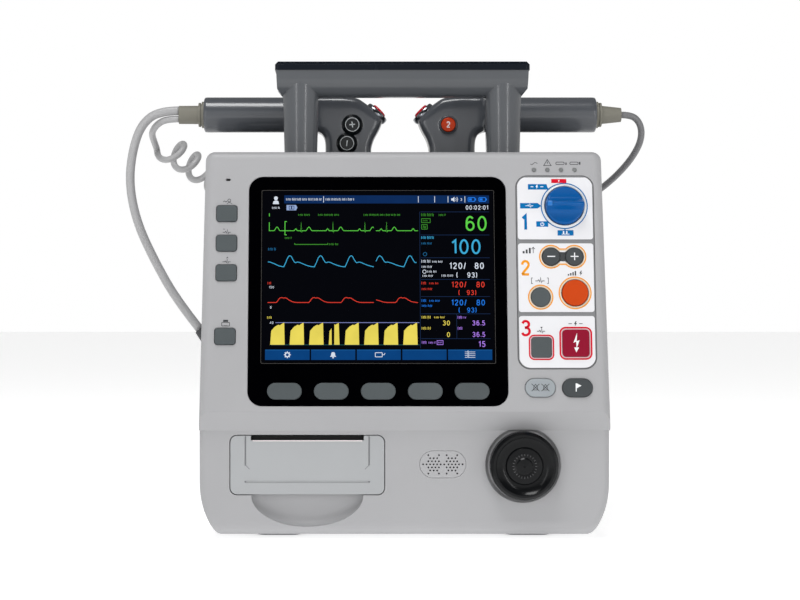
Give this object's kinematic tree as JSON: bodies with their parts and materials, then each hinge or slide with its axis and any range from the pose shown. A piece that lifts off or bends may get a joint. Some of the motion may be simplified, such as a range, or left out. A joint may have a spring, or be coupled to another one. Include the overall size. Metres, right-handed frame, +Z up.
{
  "type": "portable defibrillator monitor",
  "caption": "Portable defibrillator and patient monitor with hand paddles in top wells, tilted screen, control field, chart printer and carrying handle.",
  "frame": {"origin": "centre of the footprint on the floor, under the housing and its fixed pieces, the cords not counted", "axes": "+X to the operator's right, the front faces -Y, +Z up"},
  "size_m": [0.4149, 0.229, 0.357],
  "materials": {
    "housing_plastic": "fine moulded texture, warm light grey",
    "handle_plastic": "semi-gloss mid grey",
    "handle_strip": "gloss blue-black",
    "glass_black": "black-printed hard glass",
    "module_metal": "satin",
    "field_grey": "satin grey",
    "plate_white": "printed white label sheet",
    "led_lens": "clear lens, unlit",
    "speaker_black": "black paper cone and frame",
    "printer_frame": "black moulded frame",
    "board_green": "solder-masked board",
    "socket_panel": "dark moulded sockets",
    "foot_rubber": "matte rubber",
    "screw_steel": "zinc plated",
    "key_grey": "soft satin grey",
    "key_light": "soft light grey",
    "key_orange": "satin orange red",
    "key_crimson": "satin crimson",
    "knob_blue": "glossy blue",
    "dial_black": "glossy black",
    "shaft_steel": "turned steel",
    "roller_rubber": "black rubber",
    "paper": "thermal paper",
    "battery_case": "black textured",
    "paddle_plastic": "semi-gloss mid grey",
    "electrode_steel": "brushed",
    "button_red": "glossy red",
    "button_black": "glossy black",
    "button_orange": "glossy orange",
    "gland_rubber": "olive-grey rubber",
    "cord_grey": "satin light grey jacket",
    "plug_grey": "satin grey"
  },
  "bodies": {
    "housing": {"connector_panel": "socket_panel", "control_bezel": "field_grey", "display_glass": "glass_black", "display_module": "module_metal", "feet": "foot_rubber", "front_housing": "housing_plastic", "handle": "handle_plastic", "handle_cap": "handle_strip", "housing_screws": "screw_steel", "hv_capacitor": "module_metal", "indicator_leds": "led_lens", "label_plates": "plate_white", "link_coil": "cord_grey", "link_cord_left": "cord_grey", "link_cord_right": "cord_grey", "main_board": "board_green", "mains_inlet": "socket_panel", "printer_mechanism": "printer_frame", "rear_housing": "housing_plastic", "speaker": "speaker_black", "speaker_grille": "housing_plastic", "therapy_socket": "socket_panel", "trunk_cord": "cord_grey", "trunk_plug": "plug_grey"},
    "soft_key_1": {"soft_key_1": "key_grey"},
    "soft_key_2": {"soft_key_2": "key_grey"},
    "soft_key_3": {"soft_key_3": "key_grey"},
    "soft_key_4": {"soft_key_4": "key_grey"},
    "soft_key_5": {"soft_key_5": "key_grey"},
    "side_key_1": {"side_key_1": "key_grey"},
    "side_key_2": {"side_key_2": "key_grey"},
    "side_key_3": {"side_key_3": "key_grey"},
    "side_key_4": {"side_key_4": "key_grey"},
    "energy_down_key": {"energy_down_key": "key_grey"},
    "energy_up_key": {"energy_up_key": "key_grey"},
    "analyze_key": {"analyze_key": "key_grey"},
    "charge_key": {"charge_key": "key_orange"},
    "sync_key": {"sync_key": "key_grey"},
    "shock_key": {"shock_key": "key_crimson"},
    "alarm_key": {"alarm_key": "key_light"},
    "event_key": {"event_key": "key_grey"},
    "mode_knob": {"mode_knob": "knob_blue"},
    "jog_shaft": {"jog_shaft": "shaft_steel"},
    "jog_knob": {"jog_knob": "dial_black"},
    "printer_drawer": {"printer_drawer": "housing_plastic"},
    "paper_roll": {"paper_roll": "paper"},
    "platen_roller": {"platen_roller": "roller_rubber"},
    "battery_a": {"battery_a": "battery_case"},
    "battery_b": {"battery_b": "battery_case"},
    "left_paddle": {"left_paddle": "paddle_plastic", "left_electrode": "electrode_steel", "left_cord_gland": "gland_rubber"},
    "left_shock_button": {"left_shock_button": "button_red"},
    "right_paddle": {"right_paddle": "paddle_plastic", "right_electrode": "electrode_steel", "right_cord_gland": "gland_rubber"},
    "right_shock_button": {"right_shock_button": "button_red"},
    "left_plus_button": {"left_plus_button": "button_black"},
    "left_minus_button": {"left_minus_button": "button_black"},
    "right_select_button": {"right_select_button": "button_orange"}
  },
  "joints": [
    {"name": "soft_key_1_press", "type": "slide", "parent": "housing", "child": "soft_key_1", "axis": [0, 0.9877, -0.1564], "range_m": [0, 0.001], "stiffness_N_per_m": 400},
    {"name": "soft_key_2_press", "type": "slide", "parent": "housing", "child": "soft_key_2", "axis": [0, 0.9877, -0.1564], "range_m": [0, 0.001], "stiffness_N_per_m": 400},
    {"name": "soft_key_3_press", "type": "slide", "parent": "housing", "child": "soft_key_3", "axis": [0, 0.9877, -0.1564], "range_m": [0, 0.001], "stiffness_N_per_m": 400},
    {"name": "soft_key_4_press", "type": "slide", "parent": "housing", "child": "soft_key_4", "axis": [0, 0.9877, -0.1564], "range_m": [0, 0.001], "stiffness_N_per_m": 400},
    {"name": "soft_key_5_press", "type": "slide", "parent": "housing", "child": "soft_key_5", "axis": [0, 0.9877, -0.1564], "range_m": [0, 0.001], "stiffness_N_per_m": 400},
    {"name": "side_key_1_press", "type": "slide", "parent": "housing", "child": "side_key_1", "axis": [0, 0.9877, -0.1564], "range_m": [0, 0.0012], "stiffness_N_per_m": 400},
    {"name": "side_key_2_press", "type": "slide", "parent": "housing", "child": "side_key_2", "axis": [0, 0.9877, -0.1564], "range_m": [0, 0.0012], "stiffness_N_per_m": 400},
    {"name": "side_key_3_press", "type": "slide", "parent": "housing", "child": "side_key_3", "axis": [0, 0.9877, -0.1564], "range_m": [0, 0.0012], "stiffness_N_per_m": 400},
    {"name": "side_key_4_press", "type": "slide", "parent": "housing", "child": "side_key_4", "axis": [0, 0.9877, -0.1564], "range_m": [0, 0.0012], "stiffness_N_per_m": 400},
    {"name": "energy_down_key_press", "type": "slide", "parent": "housing", "child": "energy_down_key", "axis": [0, 0.9877, -0.1564], "range_m": [0, 0.0012], "stiffness_N_per_m": 400},
    {"name": "energy_up_key_press", "type": "slide", "parent": "housing", "child": "energy_up_key", "axis": [0, 0.9877, -0.1564], "range_m": [0, 0.0012], "stiffness_N_per_m": 400},
    {"name": "analyze_key_press", "type": "slide", "parent": "housing", "child": "analyze_key", "axis": [0, 0.9877, -0.1564], "range_m": [0, 0.0012], "stiffness_N_per_m": 400},
    {"name": "charge_key_press", "type": "slide", "parent": "housing", "child": "charge_key", "axis": [0, 0.9877, -0.1564], "range_m": [0, 0.0012], "stiffness_N_per_m": 400},
    {"name": "sync_key_press", "type": "slide", "parent": "housing", "child": "sync_key", "axis": [0, 0.9877, -0.1564], "range_m": [0, 0.0012], "stiffness_N_per_m": 400},
    {"name": "shock_key_press", "type": "slide", "parent": "housing", "child": "shock_key", "axis": [0, 0.9877, -0.1564], "range_m": [0, 0.0012], "stiffness_N_per_m": 400},
    {"name": "alarm_key_press", "type": "slide", "parent": "housing", "child": "alarm_key", "axis": [0, 0.9877, -0.1564], "range_m": [0, 0.0012], "stiffness_N_per_m": 400},
    {"name": "event_key_press", "type": "slide", "parent": "housing", "child": "event_key", "axis": [0, 0.9877, -0.1564], "range_m": [0, 0.0012], "stiffness_N_per_m": 400},
    {"name": "mode_knob_turn", "type": "hinge", "parent": "housing", "child": "mode_knob", "pos_m": [0.1187, -0.07708, 0.24502], "axis": [0, -0.9877, 0.1564], "range_deg": [-90, 90]},
    {"name": "jog_shaft_press", "type": "slide", "parent": "housing", "child": "jog_shaft", "axis": [0, 1, 0], "range_m": [0, 0.0015], "stiffness_N_per_m": 500},
    {"name": "jog_knob_turn", "type": "hinge", "parent": "jog_shaft", "child": "jog_knob", "pos_m": [0.0868, -0.094, 0.0548], "axis": [0, -1, 0], "continuous": true},
    {"name": "printer_drawer_slide", "type": "slide", "parent": "housing", "child": "printer_drawer", "axis": [0, -1, 0], "range_m": [0, 0.06]},
    {"name": "paper_roll_turn", "type": "hinge", "parent": "printer_drawer", "child": "paper_roll", "pos_m": [-0.0712, -0.05, 0.0565], "axis": [1, 0, 0], "continuous": true},
    {"name": "platen_roller_turn", "type": "hinge", "parent": "printer_drawer", "child": "platen_roller", "pos_m": [-0.0712, -0.0845, 0.0686], "axis": [1, 0, 0], "continuous": true},
    {"name": "battery_a_slide", "type": "slide", "parent": "housing", "child": "battery_a", "axis": [0, 1, 0], "range_m": [0, 0.085]},
    {"name": "battery_b_slide", "type": "slide", "parent": "housing", "child": "battery_b", "axis": [0, 1, 0], "range_m": [0, 0.085]},
    {"name": "left_paddle_lift", "type": "slide", "parent": "housing", "child": "left_paddle", "axis": [0, 0, 1], "range_m": [0, 0.06]},
    {"name": "left_shock_button_press", "type": "slide", "parent": "left_paddle", "child": "left_shock_button", "axis": [-0.7071, 0, -0.7071], "range_m": [0, 0.002], "stiffness_N_per_m": 600},
    {"name": "right_paddle_lift", "type": "slide", "parent": "housing", "child": "right_paddle", "axis": [0, 0, 1], "range_m": [0, 0.06]},
    {"name": "right_shock_button_press", "type": "slide", "parent": "right_paddle", "child": "right_shock_button", "axis": [0.7071, 0, -0.7071], "range_m": [0, 0.002], "stiffness_N_per_m": 600},
    {"name": "left_plus_button_press", "type": "slide", "parent": "left_paddle", "child": "left_plus_button", "axis": [0, 1, 0], "range_m": [0, 0.001], "stiffness_N_per_m": 300},
    {"name": "left_minus_button_press", "type": "slide", "parent": "left_paddle", "child": "left_minus_button", "axis": [0, 1, 0], "range_m": [0, 0.001], "stiffness_N_per_m": 300},
    {"name": "right_select_button_press", "type": "slide", "parent": "right_paddle", "child": "right_select_button", "axis": [0, 1, 0], "range_m": [0, 0.001], "stiffness_N_per_m": 300}
  ],
  "couplings": [
    {"joint": "platen_roller_turn", "follows": "paper_roll_turn", "ratio": 4}
  ]
}
